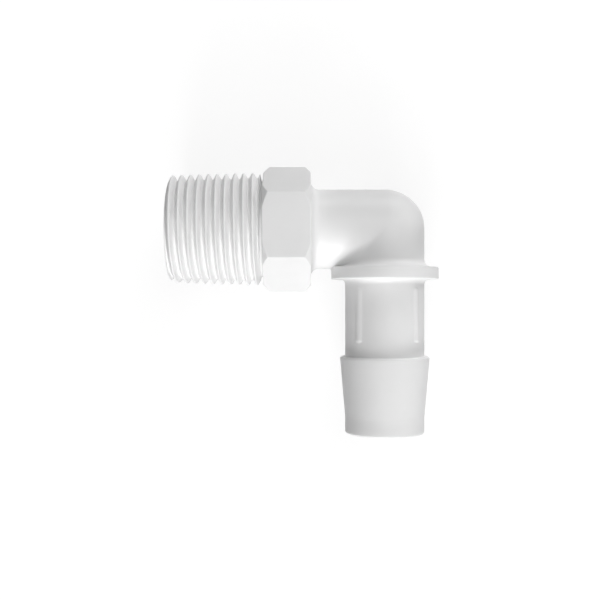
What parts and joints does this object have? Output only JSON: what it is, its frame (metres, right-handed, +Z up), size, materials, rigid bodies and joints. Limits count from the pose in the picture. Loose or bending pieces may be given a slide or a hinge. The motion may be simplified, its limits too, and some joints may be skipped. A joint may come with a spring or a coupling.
{
  "type": "barbed elbow fitting",
  "caption": "White plastic right-angle fitting with a tapered threaded spigot and hexagon on one leg and a flanged hose barb on the other.",
  "frame": {"origin": "on the floor under the middle of the fitting's box, with the fitting lying on its side", "axes": "the thread axis runs along X with its mouth towards -X, the hose axis along Y with its mouth towards -Y, +Z up"},
  "size_m": [0.0406, 0.0406, 0.0171],
  "materials": {
    "polypropylene": "semi-gloss moulded"
  },
  "bodies": {
    "root": {"elbow_fitting": "polypropylene"}
  },
  "joints": []
}
